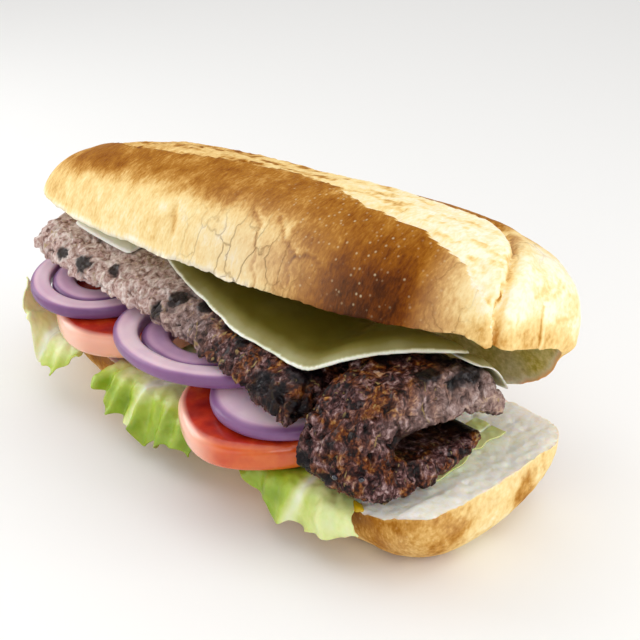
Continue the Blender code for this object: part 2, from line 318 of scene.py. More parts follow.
def soft_crumb():
    """Open white crumb, torn rather than sliced, toasted where it meets the crust; painted shade, yellow-olive, lies on
    nearly all of the top half's crumb, and faint yellow patches on the lower half's.
    """
    made, tree, shader, place = new_material(
        "wheat_crumb_soft", Roughness=0.9, Specular_IOR_Level=0.1, Subsurface_Weight=0.3, Subsurface_Scale=3 * MM
    )
    rim = add(tree, "Attribute", {"attribute_name": "rim"}).outputs["Fac"]
    soaked = add(tree, "Attribute", {"attribute_name": "soaked"}).outputs["Fac"]
    pores = add(tree, "TexNoise", {"Scale": each(2.2), "Detail": 6, "Roughness": 0.65}, {"Vector": place})
    tone = add(tree, "ValToRGB", {"stops": [(0.3, "#faf2d4"), (0.48, "#fffbec"), (0.65, "#fffffa")]}, {0: pores})
    # Painted shade: this yellow-olive colour is mixed in where the crumb is marked for it, which on the top half is
    # nearly everywhere.
    wet = add(tree, "ValToRGB", {"stops": [(0.3, "#957f26"), (0.5, "#bea848"), (0.7, "#dcc67c")]}, {0: pores})
    colour = add(tree, "Mix", {"data_type": "RGBA"}, {0: soaked, 6: tone, 7: wet})
    edge = add(tree, "Math", {"operation": "MULTIPLY_ADD", 1: 0.6, 2: -0.3}, {0: pores})
    edge = add(tree, "Math", {"operation": "ADD", "use_clamp": True}, {0: edge, 1: rim})
    toast = add(tree, "MapRange", {"From Min": 0.35, "From Max": 0.95}, {"Value": edge})
    colour = add(tree, "Mix", {"data_type": "RGBA", 7: srgb("#d9a35c")}, {0: toast, 6: colour.outputs[2]})
    tree.links.new(colour.outputs[2], shader.inputs["Base Color"])
    bump = add(tree, "Bump", {"Strength": 0.6, "Distance": 0.8 * MM}, {"Height": pores})
    tree.links.new(bump.outputs[0], shader.inputs["Normal"])
    return made


def grilled_mince():
    """Minced beef off the grill: browned, mauve and tan shreds, bits of fat, black char, wet with its juices; painted
    shade in its pits, and lighter where marked, partly its own colour and partly painted light.
    """
    made, tree, shader, place = new_material(
        "beef_mince_grilled", Coat_Weight=0.22, Coat_Roughness=0.1, Specular_IOR_Level=0.08
    )
    char = add(tree, "Attribute", {"attribute_name": "char"}).outputs["Fac"]
    hollow = add(tree, "Attribute", {"attribute_name": "hollow"}).outputs["Fac"]
    pale = add(tree, "Attribute", {"attribute_name": "pale"}).outputs["Fac"]
    broad = add(tree, "TexNoise", {"Scale": each(10), "Detail": 3, "Roughness": 0.6, "Distortion": 0.6}, {"Vector": place})
    upright = add(tree, "Mapping", {"Scale": (1.15, 1, 0.6)}, {"Vector": place})
    shred = add(tree, "TexNoise", {"Scale": each(4), "Detail": 5, "Roughness": 0.68, "Distortion": 1.0},
                {"Vector": upright})
    fine = add(tree, "TexNoise", {"Scale": each(1.6), "Detail": 3, "Roughness": 0.6}, {"Vector": place})
    mixed = add(tree, "Math", {"operation": "MULTIPLY", 1: 0.3}, {0: fine})
    mixed = add(tree, "Math", {"operation": "MULTIPLY_ADD", 1: 0.7}, {0: shred, 2: mixed})
    mauve = add(tree, "ValToRGB", {"stops": [(0.4, "#080304"), (0.46, "#2e1413"), (0.52, "#5c3836"), (0.58, "#947270"),
                                             (0.66, "#d6c0bc")]}, {0: mixed})
    brown = add(tree, "ValToRGB", {"stops": [(0.4, "#080201"), (0.46, "#341006"), (0.54, "#74390f"),
                                             (0.63, "#b88442")]}, {0: mixed})
    side = add(tree, "MapRange", {"From Min": 0.46, "From Max": 0.58}, {"Value": broad})
    colour = add(tree, "Mix", {"data_type": "RGBA"}, {0: side, 6: mauve, 7: brown})
    # Partly the meat's own paler colour, partly painted light: lighter grey-pink where marked, most towards the strip's
    # far end.
    grey = add(tree, "ValToRGB", {"stops": [(0.36, "#66463f"), (0.46, "#c7a399"), (0.58, "#f3e4dd")]}, {0: mixed})
    colour = add(tree, "Mix", {"data_type": "RGBA"}, {0: pale, 6: colour.outputs[2], 7: grey})
    bits = add(tree, "TexNoise", {"Scale": each(5), "Detail": 2, "Distortion": 1.5}, {"Vector": upright})
    fat = add(tree, "MapRange", {"From Min": 0.64, "From Max": 0.7, "To Max": 0.7}, {"Value": bits})
    colour = add(tree, "Mix", {"data_type": "RGBA", 7: srgb("#ab925c")}, {0: fat, 6: colour.outputs[2]})
    # Painted shade: near black in the pits and inside the fold's mouth.
    colour = add(tree, "Mix", {"data_type": "RGBA", 7: srgb("#050203")}, {0: hollow, 6: colour.outputs[2]})
    burn = add(tree, "Math", {"operation": "MULTIPLY_ADD", 1: 0.9, 2: -0.45}, {0: shred})
    burn = add(tree, "Math", {"operation": "ADD"}, {0: burn, 1: char})
    burn = add(tree, "MapRange", {"From Min": 0.3, "From Max": 0.62, "To Max": 0.92}, {"Value": burn})
    colour = add(tree, "Mix", {"data_type": "RGBA", 7: srgb("#07060c")}, {0: burn, 6: colour.outputs[2]})
    tree.links.new(colour.outputs[2], shader.inputs["Base Color"])
    wet = add(tree, "MapRange", {"From Min": 0.3, "From Max": 0.7, "To Min": 0.25, "To Max": 0.6}, {"Value": broad})
    tree.links.new(wet.outputs[0], shader.inputs["Roughness"])
    bump = add(tree, "Bump", {"Strength": 1.0, "Distance": 1.5 * MM}, {"Height": mixed})
    tree.links.new(bump.outputs[0], shader.inputs["Normal"])
    return made


def mild_cheese():
    """White cheese melted thin over the meat: dark olive over most of it, partly the meat showing through and partly
    painted shade from the top half's overhang, and paler to white towards its thicker rim.
    """
    made, tree, shader, place = new_material(
        "white_cheese_melted", Roughness=0.35, Specular_IOR_Level=0.3, Subsurface_Weight=0.15, Subsurface_Scale=2 * MM
    )
    rim = add(tree, "Attribute", {"attribute_name": "rim"}).outputs["Fac"]
    cloud = add(tree, "TexNoise", {"Scale": each(16), "Detail": 3}, {"Vector": place})
    thick = add(tree, "Math", {"operation": "MULTIPLY_ADD", 1: 0.5, 2: -0.25}, {0: cloud})
    thick = add(tree, "Math", {"operation": "ADD"}, {0: thick, 1: rim})
    # Partly painted shade: the low end of the ramp is a dark olive.
    stops = [(0, "#625718"), (0.3, "#857c3e"), (0.6, "#bbb78a"), (0.85, "#eaebd6"), (1, "#fdfdf4")]
    colour = add(tree, "ValToRGB", {"stops": stops}, {0: thick})
    tree.links.new(colour.outputs[0], shader.inputs["Base Color"])
    fine = add(tree, "TexNoise", {"Scale": each(3), "Detail": 2}, {"Vector": place})
    bump = add(tree, "Bump", {"Strength": 0.15, "Distance": 0.5 * MM}, {"Height": fine})
    tree.links.new(bump.outputs[0], shader.inputs["Normal"])
    return made


def red_onion():
    """Red onion, cut across: nearly white flesh with a violet blush, purple skin on each ring's outside."""
    made, tree, shader, place = new_material(
        "red_onion_cut", Roughness=0.3, Specular_IOR_Level=0.35, Subsurface_Weight=0.25, Subsurface_Scale=3 * MM
    )
    skin = add(tree, "Attribute", {"attribute_name": "skin"}).outputs["Fac"]
    blush = add(tree, "TexNoise", {"Scale": each(9), "Detail": 3}, {"Vector": place})
    shade = add(tree, "Math", {"operation": "MULTIPLY_ADD", 1: 0.3, 2: -0.15}, {0: blush})
    shade = add(tree, "Math", {"operation": "ADD"}, {0: shade, 1: skin})
    stops = [(0, "#ecd0dc"), (0.3, "#cfa7c2"), (0.65, "#9a6e9b"), (1, "#744a78")]
    colour = add(tree, "ValToRGB", {"stops": stops}, {0: shade})
    tree.links.new(colour.outputs[0], shader.inputs["Base Color"])
    return made


def ripe_tomato():
    """Ripe tomato, sliced: glossy orange-red skin, pale pink where marked as a painted highlight, and wet flesh in dark
    reds that are partly painted shade from the onion above.
    """
    made, tree, shader, place = new_material(
        "tomato_sliced", Roughness=0.24, Subsurface_Weight=0.25, Subsurface_Scale=4 * MM, Coat_Weight=0.3
    )
    skin = add(tree, "Attribute", {"attribute_name": "skin"}).outputs["Fac"]
    cloud = add(tree, "TexNoise", {"Scale": each(9), "Detail": 4}, {"Vector": place})
    # Partly painted shade: the cut flesh is given dark reds.
    flesh = add(tree, "ValToRGB", {"stops": [(0.3, "#8e1402"), (0.55, "#bd2e08"), (0.8, "#e25f28")]}, {0: cloud})
    peel = add(tree, "ValToRGB", {"stops": [(0.3, "#cc4408"), (0.7, "#e4702a")]}, {0: cloud})
    # Painted highlight: the skin turns pale pink where marked.
    pale = add(tree, "Attribute", {"attribute_name": "pale"}).outputs["Fac"]
    peel = add(tree, "Mix", {"data_type": "RGBA", 7: srgb("#fbc4ac")}, {0: pale, 6: peel}).outputs[2]
    colour = add(tree, "Mix", {"data_type": "RGBA"}, {0: skin, 6: flesh, 7: peel})
    tree.links.new(colour.outputs[2], shader.inputs["Base Color"])
    return made


def leaf_lettuce():
    """Lettuce leaf: thin, crinkled, bright green at the frill and nearly white along the ribs."""
    made, tree, shader, place = new_material(
        "lettuce_leaf", Roughness=0.35, Subsurface_Weight=0.3, Subsurface_Scale=2 * MM, Transmission_Weight=0.0
    )
    green = add(tree, "Attribute", {"attribute_name": "green"}).outputs["Fac"]
    cloud = add(tree, "TexNoise", {"Scale": each(8), "Detail": 5, "Roughness": 0.6}, {"Vector": place})
    shade = add(tree, "Math", {"operation": "MULTIPLY_ADD", 1: 0.5, 2: -0.25}, {0: cloud})
    shade = add(tree, "Math", {"operation": "ADD"}, {0: shade, 1: green})
    stops = [(0, "#f6f7e0"), (0.3, "#e2eaa4"), (0.6, "#b4ca46"), (0.8, "#8aa81f"), (1, "#6c890c")]
    colour = add(tree, "ValToRGB", {"stops": stops}, {0: shade})
    tree.links.new(colour.outputs[0], shader.inputs["Base Color"])
    veins = add(tree, "TexVoronoi", {"feature": "DISTANCE_TO_EDGE", "Scale": each(5)}, {"Vector": place})
    bump = add(tree, "Bump", {"Strength": 0.3, "Distance": 0.5 * MM}, {"Height": veins.outputs["Distance"]})
    tree.links.new(bump.outputs[0], shader.inputs["Normal"])
    return made


def yellow_mustard():
    """Smooth yellow sauce, wet and opaque."""
    return new_material("yellow_sauce", Base_Color=srgb("#f0b81c"), Roughness=0.2, Subsurface_Weight=0.2)[0]


def cracked_pepper():
    """A cracked peppercorn: hard, blue-black, with a sheen."""
    return new_material("black_pepper_cracked", Base_Color=srgb("#20222e"), Roughness=0.25, Coat_Weight=0.6)[0]


def pale_board():
    """A plain matt surface, nearly white."""
    return new_material("white_laminate", Base_Color=srgb("#f4f3f1"), Roughness=0.6)[0]


# ---------------------------------------------------------------- the roll


def loaf(name, size, crown, belly, near_end, far_end):
    """A closed loaf along X, with the rows of its mesh closer together on the front."""
    length, width = size
    obj = primitive(name, bpy.ops.mesh.primitive_uv_sphere_add, segments=36, ring_count=52, radius=1)
    apply(obj, "SUBSURF", subdivision_type="SIMPLE", levels=3)
    co = points(obj)
    co /= np.linalg.norm(co, axis=1)[:, None]
    share = 1 - 2 * np.arccos(np.clip(co[:, 2], -1, 1)) / np.pi
    reach = 1 - (1 - np.linspace(0, 1, 2001)) ** 3
    run = np.append(0, np.cumsum(np.hypot(np.diff(reach) * length, np.diff(end_factor(reach, 4)) * width)))
    along = np.sign(share) * np.interp(np.abs(share) * run[-1], run, reach)
    angle = np.arctan2(co[:, 1], co[:, 0])
    angle += 0.45 * np.sin(angle + np.pi - math.radians(-25))
    side, up = np.cos(angle), np.sin(angle)
    plan = end_factor(along, np.where(along > 0, near_end[0], far_end[0]))
    rise = end_factor(along, np.where(along > 0, near_end[1], far_end[1]))
    y = plan * width / 2 * np.sign(side) * np.abs(side) ** 0.8
    z = rise * np.where(up > 0, crown, belly) * np.sign(up) * np.abs(up) ** 0.8
    set_points(obj, np.stack([along * length / 2, y, z], 1))
    return obj


def cut_open(obj, face, relief, size, away):
    """Cuts a loaf along z = face(x, y), with the crumb's relief, and marks the cut's faces with the crumb."""
    cutter = primitive("cutter", bpy.ops.mesh.primitive_grid_add, x_subdivisions=250, y_subdivisions=100, size=1)
    co = points(cutter) * MM * (*size, 1)
    co[:, 2] = face(co[:, 0], co[:, 1])
    co[:, 2] += relief(co)
    set_points(cutter, co)
    edit(cutter, (bpy.ops.mesh.extrude_region_move, {}))
    co = points(cutter)
    chosen = np.empty(len(co), bool)
    cutter.data.vertices.foreach_get("select", chosen)
    co[chosen, 2] = away
    set_points(cutter, co)
    edit(cutter, (bpy.ops.mesh.normals_make_consistent, {"inside": False}))
    for mesh, value in ((obj.data, 0), (cutter.data, 1)):
        flag = mesh.attributes.new("cut", "INT", "FACE")
        flag.data.foreach_set("value", np.full(len(mesh.polygons), value, np.int32))
    apply(obj, "BOOLEAN", operation="DIFFERENCE", solver="EXACT", object=cutter)
    bpy.data.objects.remove(cutter)


def mark_crumb(obj):
    """Gives the cut faces the second material, and returns each vertex's distance from the rim."""
    mesh = obj.data
    flags = np.empty(len(mesh.polygons), np.int32)
    mesh.attributes["cut"].data.foreach_get("value", flags)
    mesh.polygons.foreach_set("material_index", flags)
    touches = np.zeros((2, len(mesh.vertices)), bool)
    corners = np.empty(len(mesh.loops), np.int32)
    mesh.loops.foreach_get("vertex_index", corners)
    sizes = np.empty(len(mesh.polygons), np.int32)
    mesh.polygons.foreach_get("loop_total", sizes)
    touches[np.repeat(flags, sizes), corners] = True
    co = points(obj)
    rim = np.flatnonzero(touches.all(0))
    tree = kdtree.KDTree(len(rim))
    for index in rim:
        tree.insert(co[index], index)
    tree.balance()
    return np.array([tree.find(p)[2] for p in co.tolist()])


def crumb_relief(co, seed):
    """Torn, open crumb: broad swells, and pores of a few sizes."""
    large = cells(co, 5, seed)[0]
    small = cells(co, 2.4, seed + 1)[0]
    return 0.7 * lumps(co, 12, seed) - 0.9 * ramp(large, 0.45, 0.05) - 0.5 * ramp(small, 0.5, 0.1)


def heel_face(x, y):
    """The lower half's cut face: pressed in by the filling, most at the front."""
    front = np.maximum(0, -y / (HEEL_WIDTH / 2))
    middle = end_factor(np.minimum(1, np.abs(x) / (0.46 * HEEL_LENGTH)), 3)
    near_corner = np.maximum(0, x - 60) / 60 * np.maximum(0, y) / (HEEL_WIDTH / 2)
    return 4.5 * near_corner - middle * (1.2 + 2.3 * front)


def bottom_half(crust, crumb):
    obj = loaf("roll_bottom", (HEEL_LENGTH, HEEL_WIDTH), 34, HEEL_BELLY, (7, 5), (3.6, 2.6))
    co = points(obj)
    lift = 0.4 * np.maximum(0, co[:, 0] - 60) / 60 * np.maximum(0, co[:, 1]) / (HEEL_WIDTH / 2)
    co[:, 2] *= np.where(co[:, 2] < 0, 1 - lift, 1)
    set_points(obj, co)
    push(obj, 0.8 * lumps(co, 30, 8) + 0.5 * lumps(co, 12, 9) + 0.2 * lumps(co, 4, 10))
    co = points(obj)
    co[:, 2] = np.maximum(co[:, 2], -HEEL_HEIGHT)
    set_points(obj, co)

    def relief(co):
        return crumb_relief(co, 3)

    cut_open(obj, heel_face, relief, (1.1 * HEEL_LENGTH, 1.2 * HEEL_WIDTH), 60)
    rim = mark_crumb(obj)
    co = points(obj)
    x, y, z = co.T
    patches = ramp(lumps(co, 14, 11) + 0.4 * lumps(co * (1.2, 1.2, 0.8), 4, 12), -0.1, 0.6)
    end_face = ramp(y, -26, -4) * ramp(x, 100, 116)
    brown = 0.42 + 0.32 * spot(z, -2, 8) * ramp(x, 118, 96) + 0.14 * patches - 0.22 * end_face
    brown += 0.2 * patches * end_face * ramp(y, 0, 14)
    brown -= 0.06 * ramp(z, -10, -22)
    brown -= 0.08 * ramp(rim, 1.2, 0.2)
    paint(obj, "browning", brown)
    paint(obj, "flaky", 0.15 * ramp(lumps(co, 9, 20), 0, 0.4))
    paint(obj, "blistered", 0.3 + 0 * rim)
    paint(obj, "rim", 0.55 * ramp(rim, 1.6, 0.2))
    paint(obj, "soaked", 0.05 * ramp(lumps(co, 14, 21), 0.1, 0.5))
    settle(obj, "bread_bottom", HEEL_TURN)
    return finish_piece(obj, "crust", [crust, crumb], "bread_bottom")


def bend(x):
    """The upper half's ends curve up by CROWN_BEND."""
    return CROWN_BEND * (2 * x / CROWN_LENGTH) ** 2


def crown_face(x, y):
    """The upper half's cut face: arched over the filling, then steeply down its back wall."""
    across = y / (CROWN_WIDTH / 2)
    arch = 12 * (1 - np.minimum(1, across**2)) * end_factor(np.minimum(1, np.abs(x) / CROWN_LENGTH), 2)
    arch *= ramp(x, 125, 112)
    back_wall = (29 + 0.05 * x + 9 * ramp(x, 50, 95)) * np.maximum(0.0, (across - 0.25) / 0.75) ** 1.7
    return arch - back_wall + bend(x)


# The slash along the top, opened in the oven: its lifted front edge and the fold behind it.
EAR = [
    (-112, -4, 16), (-95, -12, 28), (-65, -25, 34), (-38, -25, 36), (-10, -19.5, 38.7), (16, -15.5, 39.7),
    (41, -20.3, 38.6), (60, -26.4, 36), (76, -28.4, 34), (89, -28, 33), (98, -30, 30), (107, -30.3, 26.5),
    (114, -30.4, 20.4), (119, -28.3, 13.7), (121, -26, 3),
]
FOLD = [
    (-112, 2, 17), (-95, 9, 28), (-60, 11, 38), (-20, 10, 41), (30, 9, 41), (70, 7, 41), (92, 3.5, 39.5),
    (102, -1.3, 37), (110, -9, 33), (114.5, -14.4, 30), (119, -21.3, 22), (120.5, -24.7, 15), (121.3, -25.5, 3),
]
# Cracks through the thin crust, as points from top to bottom.
CRACKS = [
    [(21, -38.5, 25), (26.5, -40, 22), (27.5, -41.5, 19), (28, -42.3, 15.5), (31, -43.5, 10), (29.8, -43.7, 6.6),
     (33.3, -43.8, 3.5), (32.5, -44, 0)],
    [(33, -38, 26), (41, -41.3, 19), (47.2, -42.4, 15), (45.7, -43.3, 11), (48, -43.6, 6)],
    [(47.2, -42.4, 15), (53, -41, 17), (60, -41.5, 15)],
    [(122, -2, 17), (122.8, -1.5, 10), (122.5, -0.8, 1)],
]
SLIT = [(-16.8, -41, 19), (-15, -42.5, 14.5), (-13.8, -43.4, 10)]
# Short deep tears along the fold, and fine wrinkles on the blunt end beside it.
TEARS = [[(118, -22.5, 22.8), (118.9, -24, 18.5)], [(119, -25.3, 17.8), (119.8, -26, 13.5)]]
WRINKLES = [
    [(121.8, -8, 20.3), (121, 0, 22.6), (119.5, 9.6, 25.3)],
    [(122, -3.5, 18.6), (121.2, 3.7, 21), (120, 12, 23.5)],
    [(121.5, -5, 22.8), (120.5, 2.5, 24.6)],
    [(122.3, 7.4, 12.9), (122, 18.5, 14)],
]


def ear_and_fold(co, out):
    """Distances from the ragged lifted edge and from the fold, positive behind each."""
    behind_ear = near_line(co, EAR, out) + 1.3 * lumps(co, 7, 21) + 0.6 * lumps(co, 2.4, 22)
    behind_fold = near_line(co, FOLD, out) + 0.8 * lumps(co, 9, 23)
    return behind_ear, behind_fold


def wrinkled_end(x):
    """Where the front's skin shrank into upright wrinkles, close to the near end."""
    return ramp(x, 95, 107) * ramp(x, 120, 110)


def top_half(crust, crumb):
    obj = loaf("roll_top", (CROWN_LENGTH, CROWN_WIDTH), CROWN_HEIGHT, CROWN_BELLY, (5.2, 4), (3.4, 2.6))
    co = points(obj)
    co[:, 2] += bend(co[:, 0])
    co[:, 0] -= 5 * ramp(co[:, 2], 4, -4) * ramp(co[:, 0], 85, 115)
    set_points(obj, co)
    out = outward(obj)
    behind_ear, behind_fold = ear_and_fold(co, out)
    band = ramp(behind_ear, -0.3, 0.5) * ramp(behind_fold, 0.5, -0.5)
    stretched = co * (0.3, 1, 1)
    height = 0.7 * lumps(co, 34) + 0.35 * lumps(co, 13, 1) + 0.12 * lumps(co, 3.2, 2)
    height += np.where(behind_ear < 0, 0.9 * spot(behind_ear, 0, 4), -0.8 * np.exp(-behind_ear / 5) * band)
    height += band * (0.4 * lumps(stretched, 4, 3) + 0.4 * lumps(co, 2.2, 4) - 0.8 * ramp(lumps(co, 4, 17), 0.3, 0.6))
    height -= 2.2 * spot(behind_fold, 0, 1.2) - 1.1 * spot(np.abs(behind_fold), 5, 3.5)
    bent = co + 0.9 * np.stack([lumps(co, 3.5, 25 + k) for k in range(3)], 1)
    for line in CRACKS:
        gap = near_line(bent, line, out)
        height += 0.4 * np.exp(-gap / 4) * (gap > 0) - 0.3 * spot(gap, 0, 0.8)
    height -= 0.7 * spot(near_line(co, SLIT), 0, 1.6)
    for line in TEARS:
        height -= 2.5 * spot(near_line(co, line), 0, 0.9)
    for line in WRINKLES:
        height -= 0.15 * spot(near_line(bent, line), 0, 0.9)
    height += 0.35 * wrinkled_end(co[:, 0]) * (1 - band) * lumps(co * (1.6, 0.5, 0.5), 3, 18)
    push(obj, height)

    def relief(co):
        torn = ramp(co[:, 1], -30, -42) * spot(co[:, 0], 20, 55)
        lip = ramp(co[:, 1], -36, -42)
        rough = 0.8 * lumps(co, 11, 8) + 0.25 * lumps(co, 4, 9)
        return crumb_relief(co, 5) * (1 - lip) + rough * lip + torn * (1.1 * lumps(co, 5, 6) + 0.7 * lumps(co, 2.2, 7))

    cut_open(obj, crown_face, relief, (1.1 * CROWN_LENGTH, 1.2 * CROWN_WIDTH), -80)
    rim = mark_crumb(obj)
    co = points(obj)
    out = outward(obj)
    x, y, z = co.T
    angle = np.degrees(np.arctan2(z, -y))
    behind_ear, behind_fold = ear_and_fold(co, out)
    band = ramp(behind_ear, -0.3, 0.5) * ramp(behind_fold, 0.5, -0.5)
    crest = ramp(angle, 22, 42) * ramp(angle, 178, 130) * ramp(x, -116, -80) * ramp(x, 110, 88)
    front = ramp(x, 20, 52) * ramp(x, 120, 94) * (angle < 90)
    brown = 0.18 + 0.4 * np.maximum(crest, front)
    brown += 0.42 * spot(x, 80, 21) * spot(angle, 8, 26)
    brown -= 0.12 * spot(x, 48, 12) * spot(angle, 0, 12) + 0.14 * ramp(x, 106, 116)
    brown += 0.14 * spot(x, -104, 26)
    brown += 0.2 * ramp(y, 10, 30) * ramp(angle, 178, 140) * ramp(x, 110, 80)
    brown += 0.09 * lumps(co, 16, 13) + 0.09 * lumps(co, 6, 14)
    flecks = ramp(lumps(co * (0.45, 1, 1), 5, 15) + 0.5 * lumps(co, 2, 16), 0.0, 0.6)
    brown = brown * (1 - band) + band * (0.36 - 0.3 * ramp(x, -70, 100) + (0.36 - 0.12 * ramp(x, 20, 100)) * flecks)
    # Painted shade: browner in the fold's crease and in the slit.
    brown += 0.22 * spot(behind_fold, 0, 1.1)
    brown -= 0.25 * spot(behind_ear, -0.2, 0.8) * (behind_fold < -2)
    brown += 0.22 * spot(near_line(co, SLIT), 0, 1.3)
    brown += 0.25 * ramp(rim, 14, 2) * ramp(x, 104, 116)
    brown -= 0.2 * ramp(rim, 3, 0.5) * ramp(x, 60, 20)
    bent = co + 0.9 * np.stack([lumps(co, 3.5, 25 + k) for k in range(3)], 1)
    # Painted shade: browner down the low side of each crack, paler on its lifted side; and browner in the tears and the
    # wrinkles.
    for line in CRACKS:
        gap = near_line(bent, line, out)
        brown += 0.2 * spot(gap, -0.3, 0.9) - 0.12 * spot(gap, 1.2, 1)
    for line in TEARS:
        brown += 0.6 * spot(near_line(co, line), 0, 0.8)
    for line in WRINKLES:
        brown += 0.13 * spot(near_line(bent, line), 0, 0.9)
    paint(obj, "browning", brown)
    paint(obj, "flaky", spot(x, 24, 30) * spot(angle, 12, 20) + 0.5 * wrinkled_end(x) * (1 - band))
    paint(obj, "blistered", spot(x, 64, 42) * ramp(angle, 2, 12) * (1 - band))
    paint(obj, "rim", 0.7 * ramp(rim, 1.6, 0.2) * ramp(x, 90, 60) + 0.9 * ramp(rim, 3, 0.3) * ramp(x, 90, 105))
    # Painted shade: nearly all of the top half's crumb is marked for the yellow-olive colour, less near the crust.
    paint(obj, "soaked", 0.9 + 0.2 * lumps(co, 12, 19) - 0.5 * ramp(rim, 3, 0.5))
    settle(obj, "bread_top", CROWN_TURN)
    return finish_piece(obj, "crust", [crust, crumb], "bread_top")


# ---------------------------------------------------------------- meat

# Char marks: middle and reach.
STRIP_CHAR = [
    ((-84, -33, 62), 3), ((-70, -32, 61), 5), ((-53, -29, 63), 3.5), ((-11, -29, 64.5), 6), ((4, -27, 66), 4),
    ((-18, -33, 58), 4), ((20, -31, 66), 3), ((32, -33, 64), 3.5), ((52, -42, 58), 6), ((60, -42, 55), 6),
    ((61, -30, 62), 7), ((70, -40, 55), 6),
]
FOLD_CHAR = [
    ((97, 0, 71), 8), ((106, 4, 69), 6), ((84, -12, 71), 6), ((78, -46, 39), 6), ((112, -8, 60), 3.5), ((107, 2, 68), 5), ((102, -12, 72), 5),
    ((74, -46, 46), 4), ((88, -46, 38), 3), ((66, -36, 62), 5),
]


def mince(obj, seed, char_spots, pale, hollow):
    """Coarse mince, torn and pressed: shreds and crumbs of several sizes with pits between them; the pits and the
    inside of a fold are painted in shade.
    """
    co, out = points(obj), outward(obj)
    bent = co + 2.6 * np.stack([lumps(co, 6.5, seed + k) for k in (1, 2, 3)], 1)
    shreds = bent * (1.15, 0.9, 0.6)
    nearest, second = cells(shreds, 4.6, seed)
    crumbly = ramp(lumps(co, 10, seed + 4), -0.35, 0.25)
    height = 1.3 * lumps(co, 13, seed) + 1.5 * lumps(shreds, 4, seed + 5)
    height += (0.5 + crumbly) * (0.9 * (0.45 - nearest) - 0.5 * np.exp(-(((second - nearest) / 0.14) ** 2)))
    height += 0.6 * lumps(shreds, 2, seed + 6) + 0.3 * lumps(bent, 1.1, seed + 7)
    height -= 2.2 * ramp(lumps(bent, 5.5, seed + 8) + 0.4 * lumps(bent, 2.2, seed + 9), 0.32, 0.75)
    height *= 1 - 0.5 * ramp(out[:, 2], 0.5, 0.9)
    height += 0.5 * (0.45 - np.abs(2 * lumps(bent, 2.8, seed + 11)))
    inside = hollow(co)
    height = height * (1 - inside) - 1.3 * inside
    push(obj, height)
    co = points(obj)
    char = np.zeros(len(co))
    for middle, reach in char_spots:
        char = np.maximum(char, spot(np.linalg.norm(co - middle, axis=1), 0, reach))
    char += 0.3 * lumps(bent, 4, seed + 10) + 0.15 * lumps(bent[:, ::-1], 1.7, seed + 12)
    paint(obj, "char", char)
    # Painted shade in the deep pits and inside the fold.
    paint(obj, "hollow", np.maximum(ramp(height, -0.6, -2.4), inside))
    paint(obj, "pale", pale(co))


def meat_strip(meat):
    obj = copy_of("meat_far", "meat_strip")
    apply(obj, "REMESH", mode="VOXEL", voxel_size=0.62 * MM)
    apply(obj, "SMOOTH", factor=0.5, iterations=14)
    # Lighter towards the far end: partly the meat's own colour, partly painted light from the far-end lamp.
    mince(obj, 30, STRIP_CHAR, lambda co: 0.9 * ramp(co[:, 0], 30, -40), lambda co: 0 * co[:, 0])
    return finish_piece(obj, "meat", [meat], "meat_far")


def meat_fold(meat):
    obj = copy_of("meat_near", "meat_fold")
    apply(obj, "REMESH", mode="VOXEL", voxel_size=0.55 * MM)
    apply(obj, "SMOOTH", factor=0.5, iterations=14)

    # The fold's mouth: pressed in, and painted in shade.
    def in_fold(co):
        middle = 46.5 - 0.1 * co[:, 1]
        inside = np.exp(-(((co[:, 2] - middle) / 5.8) ** 4)) * ramp(co[:, 1], -30, -23) * ramp(co[:, 1], 22, 16)
        return inside * ramp(co[:, 0], 110, 103)

    # Lighter high on the fold at the near end: partly its own colour, partly painted light.
    mince(obj, 40, FOLD_CHAR, lambda co: 0.4 * spot(co[:, 0], 112, 7) * ramp(co[:, 2], 48, 54), in_fold)
    return finish_piece(obj, "meat", [meat], "meat_near")


# ---------------------------------------------------------------- cheese, onion, tomato


def cheese_slice(name, node, cheese, thin=0, whiteness=0):
    """A slice melted over what lies under it: a soft drooping edge, paler as it is thicker there."""
    obj = copy_of(node, name)
    apply(obj, "SUBSURF", levels=2)
    apply(obj, "REMESH", mode="VOXEL", voxel_size=0.6 * MM)
    apply(obj, "SMOOTH", factor=0.5, iterations=8)
    co = points(obj)
    push(obj, 0.35 * lumps(co, 18, 50) + 0.15 * lumps(co, 6, 51) - thin)
    co, out = points(obj), outward(obj)
    rim = np.flatnonzero(np.abs(out[:, 2]) < 0.45)
    tree = kdtree.KDTree(len(rim))
    for index in rim:
        tree.insert(co[index], index)
    tree.balance()
    inside = np.array([tree.find(p)[2] for p in co.tolist()])
    droop = ramp(inside, 7, 0)
    co[:, 2] -= 1.3 * droop
    co[:, 1] += 0.9 * droop * lumps(co * (1, 0, 0), 9, 52)
    set_points(obj, co)
    # whiteness lightens the whole slice; the mid slice, deepest under the overhang, gets none and keeps the most
    # painted shade.
    paint(obj, "rim", whiteness + 0.42 * ramp(inside, 9, 1) + 0.5 * ramp(inside, 1.2, 0.2))
    return finish_piece(obj, "cheese", [cheese], node)


